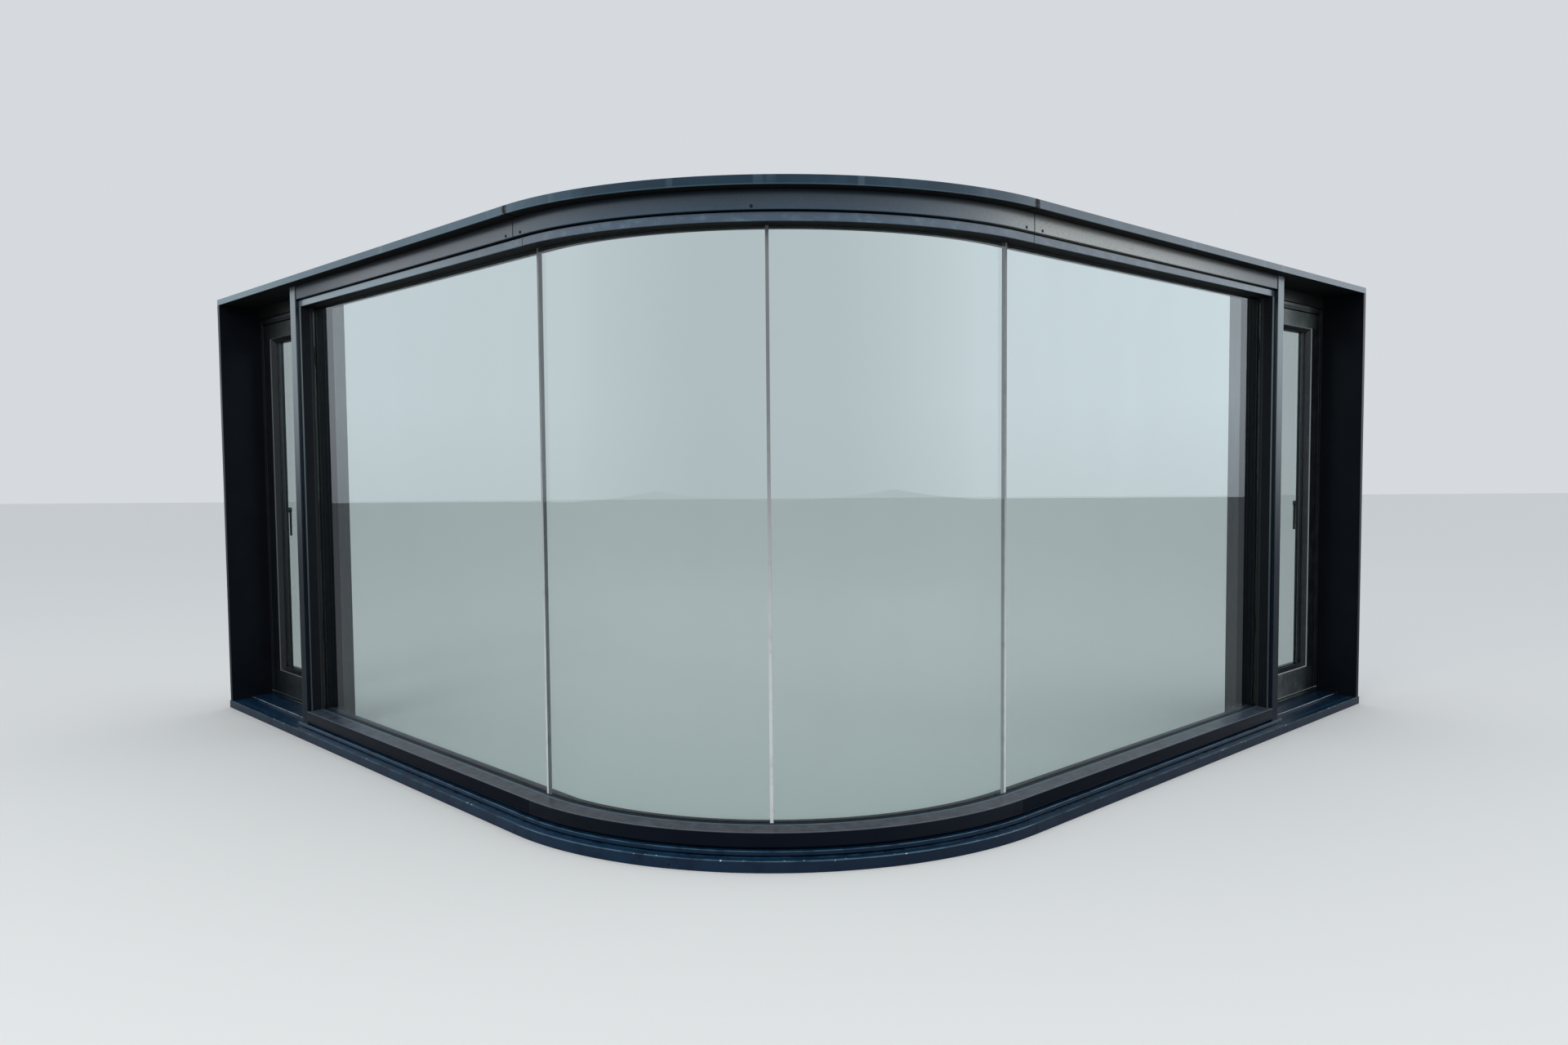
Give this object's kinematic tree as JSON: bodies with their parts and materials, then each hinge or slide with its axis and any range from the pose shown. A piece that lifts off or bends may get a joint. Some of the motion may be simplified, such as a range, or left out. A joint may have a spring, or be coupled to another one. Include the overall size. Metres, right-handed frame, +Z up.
{
  "type": "bow corner window",
  "caption": "Curved corner window: a glazed box with bent panes round a rounded corner, between a head trim and a sill, with a side-hung sash at each end.",
  "frame": {"origin": "middle of the box that bounds the window, at its base", "axes": "+Z up; -Y outward from the middle of the bow, where the picture's camera stands; +X to the right as seen from outside, so the window is mirrored about the YZ plane"},
  "size_m": [5.0402, 2.2478, 1.82],
  "materials": {
    "surround_coat": "satin dark grey powder coat on folded sheet",
    "box_coat": "satin dark grey powder coat on extrusions and folded sheet",
    "sash_coat": "satin dark grey-brown coat",
    "clear_glass": "clear polished glass, faint green edge",
    "silicone": "light grey silicone, smooth",
    "gasket_rubber": "matt black rubber",
    "setting_block": "hard black rubber block",
    "hinge_coat": "dark grey coated steel",
    "pin_steel": "plain steel",
    "handle_coat": "black satin coat on cast metal"
  },
  "bodies": {
    "window_frame": {"bottom_rail_bow": "box_coat", "bottom_rail_left": "box_coat", "bottom_rail_right": "box_coat", "box_sill_bow": "surround_coat", "box_sill_left": "surround_coat", "box_sill_right": "surround_coat", "end_post_left": "box_coat", "end_post_right": "box_coat", "fascia_bow": "box_coat", "fascia_left": "box_coat", "fascia_right": "box_coat", "frame_leaves_left": "hinge_coat", "frame_leaves_right": "hinge_coat", "glass_bow_left": "clear_glass", "glass_bow_right": "clear_glass", "glass_joints": "silicone", "glass_left": "clear_glass", "glass_right": "clear_glass", "glazing_jamb_left": "box_coat", "glazing_jamb_right": "box_coat", "head_rail_bow": "box_coat", "head_rail_left": "box_coat", "head_rail_right": "box_coat", "head_trim_bow": "surround_coat", "head_trim_left": "surround_coat", "head_trim_right": "surround_coat", "hinge_pins_left": "pin_steel", "hinge_pins_right": "pin_steel", "inner_gasket": "gasket_rubber", "keeper_left": "handle_coat", "keeper_right": "handle_coat", "outer_gasket": "gasket_rubber", "reveal_left": "surround_coat", "reveal_right": "surround_coat", "sash_seal_left": "gasket_rubber", "sash_seal_right": "gasket_rubber", "setting_blocks": "setting_block", "sill_bow": "surround_coat", "sill_left": "surround_coat", "sill_right": "surround_coat", "vent_frame_left": "sash_coat", "vent_frame_right": "sash_coat", "vent_infill_left": "sash_coat", "vent_infill_right": "sash_coat", "vent_sill_left": "surround_coat", "vent_sill_right": "surround_coat"},
    "sash_left": {"handle_base_left": "handle_coat", "sash_beads_left": "sash_coat", "sash_frame_left": "sash_coat", "sash_glass_left": "clear_glass", "sash_leaves_left": "hinge_coat"},
    "sash_right": {"handle_base_right": "handle_coat", "sash_beads_right": "sash_coat", "sash_frame_right": "sash_coat", "sash_glass_right": "clear_glass", "sash_leaves_right": "hinge_coat"},
    "handle_left": {"handle_lever_left": "handle_coat"},
    "handle_right": {"handle_lever_right": "handle_coat"}
  },
  "joints": [
    {"name": "sash_swing_left", "type": "hinge", "parent": "window_frame", "child": "sash_left", "pos_m": [-1.90919, 0.57518, 0.8845], "axis": [0, 0, 1], "range_deg": [0, 90]},
    {"name": "handle_turn_left", "type": "hinge", "parent": "sash_left", "child": "handle_left", "pos_m": [-2.26734, 1.04788, 0.8845], "axis": [-0.7071, -0.7071, 0], "range_deg": [0, 90]},
    {"name": "sash_swing_right", "type": "hinge", "parent": "window_frame", "child": "sash_right", "pos_m": [1.90919, 0.57518, 0.8845], "axis": [0, 0, -1], "range_deg": [0, 90]},
    {"name": "handle_turn_right", "type": "hinge", "parent": "sash_right", "child": "handle_right", "pos_m": [2.26734, 1.04788, 0.8845], "axis": [-0.7071, 0.7071, 0], "range_deg": [0, 90]}
  ]
}
